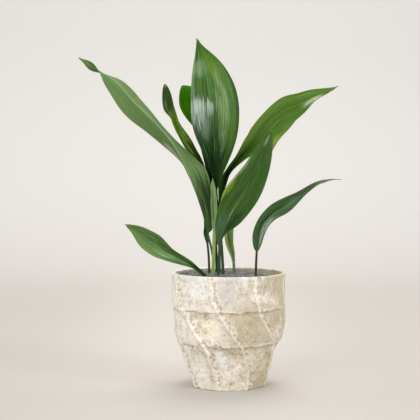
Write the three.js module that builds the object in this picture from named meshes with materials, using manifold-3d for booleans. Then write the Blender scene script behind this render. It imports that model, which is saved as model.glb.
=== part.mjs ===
// A cast iron plant (aspidistra) in a cream stoneware pot with twisted ribs.
// Millimetres, +Z up. The origin is the centre of the pot's flat underside, and -Y is the front.

import * as THREE from 'three';
import { mergeVertices } from 'three/addons/utils/BufferGeometryUtils.js';
import Module from 'manifold-3d';

// Pot sizes
const POT_HEIGHT = 200;
const POT_FLOOR = 12;
const POT_WALL = 7.5;
const RIM_EDGE = 1.5;
const FOOT_EDGE = 1.6;
// Outer radius of the pot at a few heights, from the foot to the rim, along the crests of the ribs
const POT_PROFILE = [
  [0, 66.5], [20, 72.5], [40, 79], [60, 85.5], [74, 92.5], [88, 97.5], [106, 100], [140, 101], [165, 101.5],
  [200, 101],
];

// Eight ribs run down the pot and turn by about one rib spacing on the way. The angle at each height
const RIB_COUNT = 8;
const RIB_SPACING = 360 / RIB_COUNT;
const FIRST_RIB = -63.5;
const RIB_TWIST = [
  [0, 47], [20, 46], [50, 40], [75, 33], [100, 22], [125, 12], [150, 4], [176, 0], [200, 0],
];
// The cast is uneven: half way up, each rib leads or lags by its own angle, and one has sunk
const RIB_LEAD = [6, 0, -2, 0, 3, -2, 2, 0];
const RIB_SINK = [0, 0, 0, 0, 0, 0, 0, 3.4];
const UNEVEN_RISE = [40, 100];
const UNEVEN_FALL = [115, 160];
// Each rib is a low cord between panels that are nearly flat
const CORD_HEIGHT = 0.9;
const CORD_FLANKS = [0.06, 0.94];
const FACET_SAG = 2.2;
// To the right of each rib the wall drops away, most of all half way up
const HOLLOW_DEPTH = 3.4;
const HOLLOW_FALL_OFF = 4.5;
const HOLLOW_FLANK = 0.07;
const HOLLOW_SHARE = [[0, 0.5], [40, 0.7], [80, 1], [130, 1], [165, 0.4], [200, 0.3]];
// The ribs and panels fade out between these two heights, and the rim above is round
const RELIEF_FADE = [186, 198];
// The share of the relief that shows in the panel after each rib
const PANEL_RELIEF = [1, 1, 0.9, 0.5, 0.9, 1, 0.4, 0.4];

// Two raised bands cross the panels, and each stands proud of the wall just below it
const BAND_HEIGHTS = [140, 80];
const BAND_DEPTH = 2.8;
const BAND_EDGE = 4;
const BAND_FLANKS = [0.12, 0.85];

// Points around the pot, as shares of the way from one rib to the next
const PANEL_SHARES = [0, 0.06, 0.15, 0.4, 0.68, 0.94];
const AROUND = RIB_COUNT * PANEL_SHARES.length;
const RELIEF_HEIGHTS = [14, 30, 46, 62, 73, 77, 80, 88, 98, 110, 124, 133, 137, 140, 150, 167, 186, 193];

// The inside narrows between these two heights, so that the wall stays whole behind the relief
const INSIDE_STEP = [164, 190];
const INSIDE_NARROWING = 7.2;
// Heights of the inside's rings, from the top down
const INSIDE_HEIGHTS = [182, 120, 90, 60];

// Compost: nearly level, and sunk along its right side between these two distances from the middle
const SOIL_TOP = 195.5;
const SOIL_SINK = 9;
const SOIL_SINK_FROM = [15, 75];
const SOIL_RINGS = [1, 0.8, 0.55, 0.3];
const SEAT_GAP = 0.3;
const STALK_HOLE_GAP = 0.4;
const STALK_HOLE_REACH = 34;

// Leaves
const BLADE_EDGE = 0.8;
const BLADE_MIDRIB = 1.6;
const ACROSS = [-1, -0.68, -0.34, 0, 0.34, 0.68, 1];
const STALK_STEPS = 5;
const STALK_TAPER = 0.15;
const FRONT = new THREE.Vector3(0, -1, 0);

// Each leaf: its midrib from the stalk's foot to the tip, the share of that length where the blade
// begins, the blade's half width, where along the blade it is fullest, how fast it tapers from there
// to the stalk and to the tip, and the stalk's radius. Then by shares of the blade, in degrees, how far
// it is turned from facing the front and how far its two halves are folded up from the midrib.
// The leaf that arches over to the back is measured from its own direction instead of the front.
const LEAVES = [
  {
    name: 'leaf_far_left',
    colour: 0x6a8f54,
    midrib: [
      [-24, 8, 172], [-28, 6, 230], [-36, -1, 266], [-47, -8, 309], [-62, -12, 352], [-79, -14, 393],
      [-100, -16, 429], [-131, -20, 465], [-164, -24, 497], [-195, -27, 531], [-222, -28, 549],
      [-259, -28, 573],
    ],
    blade: 0.2, half: 36, fullest: 0.46, taper: [0.5, 0.9], stalk: 2.2, steps: 30,
    turn: [
      [0, 240], [0.15, 238], [0.24, 225], [0.33, 197], [0.45, 170], [0.65, 160], [0.8, 143], [0.89, 85],
      [0.94, 25], [0.97, -22], [1, -36],
    ],
    fold: [
      [0, 60], [0.15, 58], [0.24, 47], [0.34, 70], [0.52, 66], [0.7, 42], [0.83, 28], [0.89, 6], [1, 20],
    ],
  },
  {
    name: 'leaf_twisted',
    colour: 0x3d6230,
    midrib: [
      [-33, 20, 172], [-35, 20, 228], [-38, 21, 258], [-41, 25, 288], [-41, 31, 326], [-45, 35, 361],
      [-57, 39, 393], [-74, 45, 417], [-87, 49, 443], [-96, 52, 472], [-105, 53, 497], [-114, 53, 534],
    ],
    blade: 0.2, half: 20, fullest: 0.6, taper: [0.5, 0.6], stalk: 2.2, steps: 20,
    turn: [
      [0, 10], [0.4, -16], [0.55, -22], [0.65, -18], [0.75, 0], [0.8, 2], [0.86, 17], [0.92, 20], [1, 6],
    ],
    fold: [
      [0, 10], [0.05, 20], [0.1, 72], [0.3, 68], [0.5, 69], [0.6, 61], [0.75, 72], [0.8, 68],
      [0.86, 42], [0.92, 22], [1, 15],
    ],
  },
  {
    name: 'leaf_back',
    colour: 0x3a7a12,
    midrib: [
      [-20, 40, 172], [-22, 41, 253], [-27, 42, 316], [-37, 46, 397], [-49, 50, 438], [-59, 54, 467],
      [-67, 60, 498], [-70, 68, 521], [-70, 82, 531], [-69, 102, 526], [-67, 120, 512],
    ],
    faces: [0, -0.6, 0.8],
    blade: 0.34, half: 23.5, fullest: 0.58, taper: [0.7, 1.1], stalk: 2.3, steps: 20,
    turn: [[0, -10], [0.45, -36], [0.52, -33], [0.6, -12], [0.66, 2], [0.72, 5], [0.8, -6], [1, -12]],
    fold: [[0, 45], [0.4, 22], [0.64, 18], [0.74, 4], [1, 6]],
  },
  {
    name: 'leaf_tall',
    colour: 0x3c6a38,
    midrib: [
      [-8, 0, 172], [-12, 4, 243], [-18, 8, 300], [-22, 10, 348], [-24, 8, 393], [-25, 4, 460],
      [-29, 6, 516], [-40, 14, 569], [-56, 24, 612],
    ],
    blade: 0.38, half: 47, fullest: 0.51, taper: [1.05, 1.05], stalk: 2.7, steps: 20,
    turn: [[0, -24], [0.2, -21], [0.4, -9], [0.75, -4], [0.93, 20], [1, 26]],
    fold: [[0, 45], [0.2, 35], [0.4, 26], [0.8, 25], [0.94, 38], [1, 38]],
  },
  {
    name: 'leaf_upper_right',
    colour: 0x4f7d2e,
    midrib: [
      [-15, 18, 172], [-16, 20, 246], [-17, 26, 304], [-12, 32, 343], [1, 38, 376], [19, 42, 400],
      [45, 44, 429], [68, 46, 459], [100, 50, 487], [130, 54, 498], [155, 58, 510], [199, 62, 530],
    ],
    blade: 0.32, half: 36, fullest: 0.56, taper: [0.9, 1.25], stalk: 2.3, steps: 22,
    turn: [
      [0, 25], [0.08, 20], [0.15, 9], [0.25, 0], [0.37, -4], [0.47, -20], [0.6, -18], [0.72, -3],
      [0.85, 18], [1, 10],
    ],
    fold: [
      [0, 20], [0.08, 24], [0.15, 62], [0.2, 71], [0.3, 69], [0.4, 53], [0.46, 40], [0.65, 39], [0.82, 50],
      [1, 25],
    ],
  },
  {
    name: 'leaf_front',
    colour: 0x3f6130,
    midrib: [
      [-19, -30, 172], [-16, -36, 246], [-11, -40, 266], [3, -50, 304], [27, -60, 345], [50, -68, 392],
      [64, -72, 424], [72, -72, 447],
    ],
    blade: 0.25, half: 28.5, fullest: 0.46, taper: [0.8, 0.8], stalk: 2.2, steps: 18,
    turn: [[0, 45], [0.14, 38], [0.25, 8], [0.45, -4], [0.7, -14], [0.9, 0], [1, 0]],
    fold: [[0, 45], [0.15, 38], [0.3, 22], [0.8, 15], [1, 15]],
  },
  {
    name: 'leaf_low_right',
    colour: 0x37602f,
    midrib: [
      [47, -20, 172], [48, -22, 219], [50, -26, 253], [53, -29, 272], [61, -33, 291], [75, -37, 306],
      [97, -42, 320], [117, -46, 334], [136, -50, 347], [154, -54, 357], [172, -58, 363],
      [192, -60, 364],
    ],
    blade: 0.24, half: 19, fullest: 0.42, taper: [0.65, 1.8], stalk: 2.3, steps: 20,
    turn: [[0, 8], [0.3, 2], [0.5, -2], [0.7, 9], [0.85, 20], [1, 0]],
    fold: [[0, 35], [0.1, 40], [0.3, 53], [0.5, 43], [0.7, 61], [1, 40]],
  },
  {
    name: 'leaf_low_left',
    colour: 0x4f7f3a,
    midrib: [
      [-28, -33, 172], [-33, -34, 187], [-57, -39, 210], [-79, -46, 224], [-106, -56, 240],
      [-135, -66, 259], [-156, -74, 277], [-176, -80, 288],
    ],
    blade: 0.07, half: 20.5, fullest: 0.66, taper: [0.85, 1], stalk: 2.8, steps: 18,
    turn: [[0, -10], [0.3, -5], [0.5, 7], [0.6, 8], [0.7, 0], [1, 2]],
    fold: [[0, 50], [0.3, 52], [0.5, 46], [0.65, 31], [1, 28]],
  },
  {
    name: 'leaf_young',
    colour: 0x7ea05c,
    midrib: [[-28, -20, 172], [-26, -20, 236], [-25, -21, 285], [-26, -22, 318], [-28, -22, 365]],
    blade: 0.54, half: 8, fullest: 0.46, taper: [1, 0.8], stalk: 3.2, steps: 10,
    turn: [[0, 0], [1, -10]],
    fold: [[0, 45], [1, 45]],
  },
  {
    name: 'leaf_behind_front',
    colour: 0x5f8424,
    midrib: [
      [11, 23, 172], [9, 28, 222], [2, 35, 250], [-1, 46, 282], [1, 57, 309], [9, 66, 334],
      [24, 72, 357], [42, 79, 381], [63, 85, 404], [83, 91, 428], [111, 97, 456],
    ],
    blade: 0.13, half: 25, fullest: 0.38, taper: [0.9, 1.1], stalk: 2.8, steps: 20,
    turn: [[0, 4], [0.2, -4], [0.35, -6], [0.5, -10], [1, 0]],
    fold: [[0, 60], [0.12, 64], [0.22, 62], [0.36, 38], [0.5, 36], [1, 20]],
  },
];

const radians = THREE.MathUtils.degToRad;
const smoothstep = THREE.MathUtils.smoothstep;

// Value at x on the smooth curve through [x, value] pairs
function onProfile(pairs, x) {
  const last = pairs.length - 1;
  const next = Math.min(Math.max(pairs.findIndex((pair) => pair[0] >= x), 1), last);
  const slope = (i) => {
    const a = pairs[Math.max(i - 1, 0)];
    const b = pairs[Math.min(i + 1, last)];
    return (b[1] - a[1]) / (b[0] - a[0]);
  };
  const [x0, y0] = pairs[next - 1];
  const [x1, y1] = pairs[next];
  const h = x1 - x0;
  const t = (x - x0) / h;
  return y0 * (1 + 2 * t) * (1 - t) ** 2 + h * slope(next - 1) * t * (1 - t) ** 2
    + y1 * t * t * (3 - 2 * t) + h * slope(next) * t * t * (t - 1);
}

// A closed skin over rings of points: ring after ring, with a flat fan over each end. In a leaf the
// second half of each ring lies under the first, and is split into triangles the same way.
function skinRings(rings, mirrored = false) {
  const count = rings[0].length;
  const positions = rings.flat().flatMap((point) => [point.x, point.y, point.z]);
  const index = [];
  for (let ring = 0; ring < rings.length - 1; ring += 1) {
    for (let i = 0; i < count; i += 1) {
      const a = ring * count + i;
      const b = ring * count + (i + 1) % count;
      if (mirrored && i >= count / 2) {
        index.push(a, b, a + count, b, b + count, a + count);
      } else {
        index.push(a, b, b + count, a, b + count, a + count);
      }
    }
  }
  const addFan = (ring, facesForward) => {
    const middle = positions.length / 3;
    const centre = new THREE.Vector3();
    ring.forEach((point) => centre.addScaledVector(point, 1 / count));
    positions.push(centre.x, centre.y, centre.z);
    const first = facesForward ? (rings.length - 1) * count : 0;
    for (let i = 0; i < count; i += 1) {
      const a = first + i;
      const b = first + (i + 1) % count;
      index.push(...(facesForward ? [a, b, middle] : [b, a, middle]));
    }
  };
  addFan(rings[0], false);
  addFan(rings[rings.length - 1], true);
  const geometry = new THREE.BufferGeometry();
  geometry.setAttribute('position', new THREE.Float32BufferAttribute(positions, 3));
  geometry.setIndex(index);
  return geometry;
}

// Pot

// How uneven the ribs are at this height, from 0 to 1
function unevenness(z) {
  return smoothstep(z, ...UNEVEN_RISE) * (1 - smoothstep(z, ...UNEVEN_FALL));
}

// The angle of a rib at this height, in degrees from the front
function ribAngle(rib, z) {
  const evenly = FIRST_RIB + rib * RIB_SPACING + onProfile(RIB_TWIST, z);
  return evenly + RIB_LEAD[rib % RIB_COUNT] * unevenness(z);
}

// Depth of the relief below the outer radius, at a share of the way from one rib to the next
function reliefDepth(share, z) {
  const shown = 1 - smoothstep(z, ...RELIEF_FADE);
  const [rise, fall] = CORD_FLANKS;
  const cord = CORD_HEIGHT * smoothstep(share, 0, rise) * (1 - smoothstep(share, fall, 1));
  const facet = FACET_SAG * Math.sin(Math.PI * share);
  const drop = HOLLOW_DEPTH * onProfile(HOLLOW_SHARE, z) * smoothstep(share, 0, HOLLOW_FLANK);
  const hollow = drop * Math.exp(-share * HOLLOW_FALL_OFF);
  const [upper, lower] = BAND_HEIGHTS;
  const [band, foot] = z < lower ? [lower, 0] : [upper, lower];
  const belowBand = z < band ? 1 - smoothstep(band - z, BAND_EDGE, band - foot) : 0;
  const inPanel = smoothstep(share, 0, BAND_FLANKS[0]) * (1 - 0.5 * smoothstep(share, BAND_FLANKS[1], 1));
  return shown * (cord + facet + hollow) + BAND_DEPTH * belowBand * inPanel;
}

// The inside is plain and round
function innerRadius(z) {
  const narrowing = INSIDE_NARROWING * (1 - smoothstep(z, ...INSIDE_STEP));
  return onProfile(POT_PROFILE, z) - POT_WALL - narrowing;
}

// A point on the pot at an angle from the front, counted towards the right
function around(radius, angle, z) {
  return new THREE.Vector3(radius * Math.sin(angle), -radius * Math.cos(angle), z);
}

// A round ring of evenly spaced points, as many as there are along the ribs and panels
function evenRing(radius, z) {
  const angle = (i) => radians(FIRST_RIB + 360 * i / AROUND);
  return Array.from({ length: AROUND }, (_, i) => around(radius, angle(i), z));
}

// A ring whose points follow the ribs, with the relief taken off its radius
function reliefRing(z, inset) {
  const points = [];
  for (let rib = 0; rib < RIB_COUNT; rib += 1) {
    for (const share of PANEL_SHARES) {
      const angle = radians(THREE.MathUtils.lerp(ribAngle(rib, z), ribAngle(rib + 1, z), share));
      const sink = THREE.MathUtils.lerp(RIB_SINK[rib], RIB_SINK[(rib + 1) % RIB_COUNT], share);
      const relief = PANEL_RELIEF[rib] * reliefDepth(share, z) + sink * unevenness(z);
      points.push(around(onProfile(POT_PROFILE, z) - relief - inset, angle, z));
    }
  }
  return points;
}

function potBody() {
  const rim = onProfile(POT_PROFILE, POT_HEIGHT);
  const insideHeights = [POT_HEIGHT - RIM_EDGE, ...INSIDE_HEIGHTS, POT_FLOOR];
  return skinRings([
    reliefRing(0, FOOT_EDGE),
    reliefRing(FOOT_EDGE, 0),
    ...RELIEF_HEIGHTS.map((z) => reliefRing(z, 0)),
    reliefRing(POT_HEIGHT - RIM_EDGE, 0),
    evenRing(rim - RIM_EDGE, POT_HEIGHT),
    evenRing(rim - POT_WALL + RIM_EDGE, POT_HEIGHT),
    ...insideHeights.map((z) => evenRing(innerRadius(z), z)),
  ]);
}

// Leaves

function leafCurve(leaf) {
  const points = leaf.midrib.map((point) => new THREE.Vector3(...point));
  const curve = new THREE.CatmullRomCurve3(points, false, 'centripetal');
  curve.arcLengthDivisions = 400;
  return curve;
}

// The closed outline of a leaf across its midrib, at a share of its whole length
function leafRing(leaf, curve, share, extra) {
  const reach = 0.02;
  const faces = leaf.faces ? new THREE.Vector3(...leaf.faces).normalize() : FRONT;
  const centre = curve.getPointAt(share);
  const before = curve.getPointAt(Math.max(share - reach, 0));
  const after = curve.getPointAt(Math.min(share + reach, 1));
  const along = after.sub(before).normalize();
  const level = new THREE.Vector3().crossVectors(along, faces).normalize();
  const facing = new THREE.Vector3().crossVectors(level, along);

  const s = THREE.MathUtils.clamp((share - leaf.blade) / (1 - leaf.blade), 0, 1);
  const turn = radians(onProfile(leaf.turn, s));
  const side = level.clone().multiplyScalar(Math.cos(turn)).addScaledVector(facing, Math.sin(turn));
  const up = facing.clone().multiplyScalar(Math.cos(turn)).addScaledVector(level, -Math.sin(turn));

  const lean = Math.log(0.5) / Math.log(leaf.fullest);
  const bulge = Math.max(Math.sin(Math.PI * s ** lean), 0);
  const blade = leaf.half * bulge ** leaf.taper[s < leaf.fullest ? 0 : 1];
  const stalk = leaf.stalk * (1 - STALK_TAPER * Math.min(share / leaf.blade, 1));
  const half = Math.hypot(blade, stalk * (1 - smoothstep(s, 0.1, 0.5)), BLADE_EDGE / 2);
  const flatness = smoothstep(half, stalk, stalk * 2.4);
  const fold = radians(onProfile(leaf.fold, s)) * flatness;

  const top = [];
  const under = [];
  for (const u of ACROSS) {
    const hand = Math.sign(u);
    const x = half * u * Math.cos(fold);
    const y = half * Math.abs(u) * Math.sin(fold);
    const round = stalk * Math.sqrt(Math.max(1 - u * u, 0.1));
    const thin = (BLADE_EDGE + (BLADE_MIDRIB - BLADE_EDGE) * (1 - Math.abs(u)) ** 3) / 2;
    const thick = THREE.MathUtils.lerp(round, thin, flatness) + extra;
    const nx = hand * Math.sin(fold) * thick;
    const ny = Math.cos(fold) * thick;
    const wide = x + hand * extra;
    top.push(centre.clone().addScaledVector(side, wide - nx).addScaledVector(up, y + ny));
    under.push(centre.clone().addScaledVector(side, wide + nx).addScaledVector(up, y - ny));
  }
  return [...top, ...under.reverse()];
}

// The shares of a leaf's length at which it has a ring: a few up its stalk, then many up its blade
function ringShares(leaf) {
  const { blade, steps } = leaf;
  const upStalk = Array.from({ length: STALK_STEPS }, (_, i) => blade * i / STALK_STEPS);
  const upBlade = Array.from({ length: steps + 1 }, (_, i) => blade + (1 - blade) * i / steps);
  return [...upStalk, ...upBlade];
}

function leafBody(leaf) {
  const curve = leafCurve(leaf);
  return skinRings(ringShares(leaf).map((share) => leafRing(leaf, curve, share, 0)), true);
}

// Compost: it fills the pot to just below the rim, with a plain hole for each stalk

function soilHeight(x) {
  return SOIL_TOP - SOIL_SINK * smoothstep(x, ...SOIL_SINK_FROM);
}

function soilBody() {
  const sideHeights = [POT_FLOOR + SEAT_GAP, ...INSIDE_HEIGHTS.toReversed()];
  const rings = sideHeights.map((z) => evenRing(innerRadius(z) - SEAT_GAP, z));
  const edge = innerRadius(INSIDE_HEIGHTS[0]) - SEAT_GAP;
  for (const share of SOIL_RINGS) {
    rings.push(evenRing(edge * share, 0).map((point) => point.setZ(soilHeight(point.x))));
  }
  return skinRings(rings);
}

// The foot of a leaf's stalk, made wider all round by the gap, and long enough to cut the hole for it
function stalkHole(leaf) {
  const curve = leafCurve(leaf);
  const shares = ringShares(leaf);
  const last = shares.findIndex((share) => share * curve.getLength() > STALK_HOLE_REACH);
  const rings = shares.slice(0, last + 1).map((share) => leafRing(leaf, curve, share, STALK_HOLE_GAP));
  const below = curve.getTangentAt(0).multiplyScalar(-STALK_HOLE_GAP);
  rings.unshift(rings[0].map((point) => point.clone().add(below)));
  return skinRings(rings, true);
}

const wasm = await Module();
wasm.setup();

function toSolid(geometry) {
  const plain = mergeVertices(geometry);
  return new wasm.Manifold(new wasm.Mesh({
    numProp: 3,
    vertProperties: plain.attributes.position.array,
    triVerts: Uint32Array.from(plain.index.array),
  }));
}

function toGeometry(solid) {
  const mesh = solid.getMesh();
  const geometry = new THREE.BufferGeometry();
  geometry.setAttribute('position', new THREE.BufferAttribute(mesh.vertProperties, 3));
  geometry.setIndex(new THREE.BufferAttribute(mesh.triVerts, 1));
  return geometry;
}

function soilWithHoles() {
  const holes = LEAVES.map((leaf) => toSolid(stalkHole(leaf)));
  return toGeometry(holes.reduce((soil, hole) => soil.subtract(hole), toSolid(soilBody())));
}

// The plant in its pot

const plant = new THREE.Group();

function addPiece(name, geometry, colour, roughness) {
  const material = new THREE.MeshStandardMaterial({ color: colour, roughness, metalness: 0 });
  const mesh = new THREE.Mesh(geometry, material);
  mesh.name = name;
  plant.add(mesh);
}

addPiece('pot', potBody(), 0xe2dac6, 0.9);
addPiece('soil', soilWithHoles(), 0x4d4f4a, 1);
LEAVES.forEach((leaf) => addPiece(leaf.name, leafBody(leaf), leaf.colour, 0.42));

export default plant;
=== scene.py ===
"""A cast iron plant in a cream stoneware pot with twisted ribs. Metres, +Z up, -Y is the front."""

import math

import bpy
import numpy as np
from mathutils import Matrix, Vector


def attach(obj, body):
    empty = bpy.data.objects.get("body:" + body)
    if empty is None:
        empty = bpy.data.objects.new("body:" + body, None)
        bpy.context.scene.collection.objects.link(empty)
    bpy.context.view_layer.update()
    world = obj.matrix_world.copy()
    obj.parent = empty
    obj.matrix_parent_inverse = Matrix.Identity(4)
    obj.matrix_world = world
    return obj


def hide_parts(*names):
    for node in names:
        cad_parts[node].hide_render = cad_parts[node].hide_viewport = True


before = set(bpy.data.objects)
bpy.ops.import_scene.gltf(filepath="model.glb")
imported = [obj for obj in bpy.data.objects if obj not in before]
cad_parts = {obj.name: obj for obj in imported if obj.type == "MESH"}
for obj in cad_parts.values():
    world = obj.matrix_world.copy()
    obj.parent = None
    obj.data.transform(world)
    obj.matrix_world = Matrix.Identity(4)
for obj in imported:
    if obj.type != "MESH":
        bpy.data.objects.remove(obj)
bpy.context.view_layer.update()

# Camera
# A long lens two metres in front of the pot, about level with the middle of the leaves
# and tipped down slightly, so that the mouth of the pot shows as a thin oval.
camera_data = bpy.data.cameras.new("camera")
camera_data.lens = 100
camera_data.sensor_width = 36
camera = bpy.data.objects.new("camera", camera_data)
camera.location = (-0.0325, -2.050, 0.395)
camera.rotation_euler = (math.radians(87.6), 0, 0)
bpy.context.collection.objects.link(camera)
bpy.context.scene.camera = camera


# Pot
# One thick piece of cast stoneware, cream with tan stains, unglazed and pitted, with painted
# shade in its colour: tan down its right side and olive beside the ribs and under the bands.
# Eight ribs turn as they run down it and two raised bands cross them.
POT_HEIGHT = 0.200
POT_FLOOR = 0.012
POT_WALL = 0.0075
RIM_EDGE = 0.0015
FOOT_EDGE = 0.0016
POT_PROFILE = [
    (0, 0.0665), (0.020, 0.0725), (0.040, 0.079), (0.060, 0.0855), (0.074, 0.0925), (0.088, 0.0975),
    (0.106, 0.100), (0.140, 0.101), (0.165, 0.1015), (0.200, 0.101),
]
RIB_COUNT = 8
RIB_SPACING = 360 / RIB_COUNT
FIRST_RIB = -63.5
RIB_TWIST = [
    (0, 47), (0.020, 46), (0.050, 40), (0.075, 33), (0.100, 22), (0.125, 12), (0.150, 4), (0.176, 0),
    (0.200, 0),
]
RIB_LEAD = np.array([6, 0, -2, 0, 3, -2, 2, 0])
RIB_SINK = np.array([0, 0, 0, 0, 0, 0, 0, 0.0034])
UNEVEN_RISE = (0.040, 0.100)
UNEVEN_FALL = (0.115, 0.160)
CORD_HEIGHT = 0.0009
CORD_FLANKS = (0.06, 0.94)
FACET_SAG = 0.0022
HOLLOW_DEPTH = 0.0034
HOLLOW_FALL_OFF = 4.5
HOLLOW_FLANK = 0.07
HOLLOW_SHARE = [(0, 0.5), (0.040, 0.7), (0.080, 1), (0.130, 1), (0.165, 0.4), (0.200, 0.3)]
RELIEF_FADE = (0.186, 0.198)
PANEL_RELIEF = np.array([1, 1, 0.9, 0.5, 0.9, 1, 0.4, 0.4])
BAND_HEIGHTS = (0.140, 0.080)
BAND_DEPTH = 0.0028
BAND_EDGE = 0.004
BAND_FLANKS = (0.12, 0.85)
BAND_RINGS = (-0.0004, 0.0004, 0.0009)
BAND_SWAY = 0.0016
SWAY_RISE = (0.005, 0.050)
SWAY_FALL = (0.150, 0.185)
FOOT_FLAT = 0.0024
FOOT_FLAT_TOP = 0.045
FOOT_INSETS = (0.02, 0.010, 0.004)
ARCH_DROP = 0.014
INSIDE_STEP = (0.164, 0.190)
INSIDE_NARROWING = 0.0072
POINTS_PER_PANEL = 48
RING_SPACING = 0.0013


def smooth(x, low, high):
    """0 below low, 1 above high, and an even S between them."""
    t = np.clip((x - low) / (high - low), 0, 1)
    return t * t * (3 - 2 * t)


def on_profile(pairs, x):
    """Values at x on the smooth curve through (x, value) pairs."""
    px, py = np.array(pairs, float).T
    slope = np.empty_like(py)
    slope[1:-1] = (py[2:] - py[:-2]) / (px[2:] - px[:-2])
    slope[0] = (py[1] - py[0]) / (px[1] - px[0])
    slope[-1] = (py[-1] - py[-2]) / (px[-1] - px[-2])
    i = np.clip(np.searchsorted(px, x), 1, len(px) - 1)
    h = px[i] - px[i - 1]
    t = (x - px[i - 1]) / h
    return (
        py[i - 1] * (1 + 2 * t) * (1 - t) ** 2 + h * slope[i - 1] * t * (1 - t) ** 2
        + py[i] * t * t * (3 - 2 * t) + h * slope[i] * t * t * (t - 1)
    )


def unevenness(z):
    """How uneven the ribs are at this height, from 0 to 1."""
    return smooth(z, *UNEVEN_RISE) * (1 - smooth(z, *UNEVEN_FALL))


def rib_angle(rib, z):
    """The angles of these ribs at this height, in degrees from the front."""
    evenly = FIRST_RIB + rib * RIB_SPACING + on_profile(RIB_TWIST, z)
    return evenly + RIB_LEAD[rib % RIB_COUNT] * unevenness(z)


def relief_depth(share, z):
    """Depth of the relief at a share of the way from one rib to the next."""
    shown = 1 - smooth(z, *RELIEF_FADE)
    rise, fall = CORD_FLANKS
    cord = CORD_HEIGHT * smooth(share, 0, rise) * (1 - smooth(share, fall, 1))
    facet = FACET_SAG * np.sin(np.pi * share)
    drop = HOLLOW_DEPTH * on_profile(HOLLOW_SHARE, z) * smooth(share, 0, HOLLOW_FLANK)
    hollow = drop * np.exp(-share * HOLLOW_FALL_OFF)
    upper, lower = BAND_HEIGHTS
    band = lower if z < lower else upper
    foot = 0 if z < lower else lower
    below_band = (1 - smooth(band - z, BAND_EDGE, band - foot)) * smooth(band - z, 0, BAND_EDGE / 2)
    in_panel = smooth(share, 0, BAND_FLANKS[0]) * (1 - 0.5 * smooth(share, BAND_FLANKS[1], 1))
    return shown * (cord + facet + hollow) + BAND_DEPTH * below_band * in_panel


def skin_mesh(name, rings, **per_point):
    """A closed mesh over rings of points with a fan at each end, with its point attributes."""
    count = len(rings[0])
    points = [p for ring in rings for p in ring]
    first, last = np.mean(rings[0], axis=0), np.mean(rings[-1], axis=0)
    points += [first, last]
    low, high = len(points) - 2, len(points) - 1
    top = (len(rings) - 1) * count
    faces = []
    for row in range(len(rings) - 1):
        for i in range(count):
            a, b = row * count + i, row * count + (i + 1) % count
            faces.append((a, b, b + count, a + count))
    faces += [((i + 1) % count, i, low) for i in range(count)]
    faces += [(top + i, top + (i + 1) % count, high) for i in range(count)]
    mesh = bpy.data.meshes.new(name)
    mesh.from_pydata([tuple(p) for p in points], [], faces)
    for key, values in per_point.items():
        values = np.array(values, float)
        ends = np.array([values[:count].mean(axis=0), values[-count:].mean(axis=0)])
        values = np.concatenate([values, ends])
        kind, field = ("FLOAT", "value") if values.ndim == 1 else ("FLOAT_VECTOR", "vector")
        mesh.attributes.new(key, kind, "POINT").data.foreach_set(field, values.ravel())
    mesh.polygons.foreach_set("use_smooth", [True] * len(mesh.polygons))
    return mesh


def add(tree, kind, inputs=None, **settings):
    """A new node in a tree, with its settings made and its inputs linked or filled in."""
    node = tree.nodes.new(kind)
    for key, value in settings.items():
        setattr(node, key, value)
    for key, value in (inputs or {}).items():
        if isinstance(value, bpy.types.NodeSocket):
            tree.links.new(value, node.inputs[key])
        else:
            node.inputs[key].default_value = value
    return node


def maths(tree, operation, *values):
    """The result of one sum on numbers or sockets."""
    return add(tree, "ShaderNodeMath", dict(enumerate(values)), operation=operation).outputs[0]


def times(tree, *values):
    """The product of numbers and sockets."""
    result = values[0]
    for value in values[1:]:
        result = maths(tree, "MULTIPLY", result, value)
    return result


def swing(tree, value, width):
    """A random value from 0 to 1 made to swing evenly about zero, this wide in all."""
    return times(tree, maths(tree, "SUBTRACT", value, 0.5), width)


def ramp(tree, value, low, high, to_low=0.0, to_high=1.0):
    """value turned from low..high into to_low..to_high, with soft ends."""
    inputs = {"Value": value, "From Min": low, "From Max": high, "To Min": to_low, "To Max": to_high}
    return add(tree, "ShaderNodeMapRange", inputs, interpolation_type="SMOOTHSTEP").outputs[0]


def hump(tree, value, rise, top, fall, end):
    """0 below rise, 1 from top to fall, and 0 above end."""
    return times(tree, ramp(tree, value, rise, top), ramp(tree, value, fall, end, 1, 0))


def blend(tree, share, first, second, mode="MIX"):
    """The second colour laid over the first by share."""
    node = add(tree, "ShaderNodeMix", data_type="RGBA", blend_type=mode)
    for index, value in ((0, share), (6, first), (7, second)):
        if isinstance(value, bpy.types.NodeSocket):
            tree.links.new(value, node.inputs[index])
        elif index == 0:
            node.inputs[index].default_value = value
        else:
            node.inputs[index].default_value = (*value, 1)
    return node.outputs[2]


def noise(tree, vector, scale, detail=3.0, roughness=0.55):
    """A soft random value that changes over a vector."""
    inputs = {"Vector": vector, "Scale": scale, "Detail": detail, "Roughness": roughness}
    return add(tree, "ShaderNodeTexNoise", inputs).outputs[0]


def start_finish(name):
    """A new material with one Principled shader. Returns (material, node tree, shader)."""
    material = bpy.data.materials.new(name)
    material.use_nodes = True
    tree = material.node_tree
    return material, tree, tree.nodes["Principled BSDF"]


def finish_surface(tree, shader, colour, roughness, shine, height, strength, depth):
    """Links a shader's colour, roughness and shine and a bump of this height. Returns the bump."""
    inputs = {"Height": height, "Strength": strength, "Distance": depth}
    bump = add(tree, "ShaderNodeBump", inputs).outputs[0]
    for key, value in {"Base Color": colour, "Roughness": roughness, "Normal": bump}.items():
        tree.links.new(value, shader.inputs[key])
    shader.inputs["Specular IOR Level"].default_value = shine
    return bump


def stored(tree, name):
    """The value of this name that a mesh holds at its points, for a finish."""
    return add(tree, "ShaderNodeAttribute", attribute_name=name).outputs["Fac"]


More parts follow.
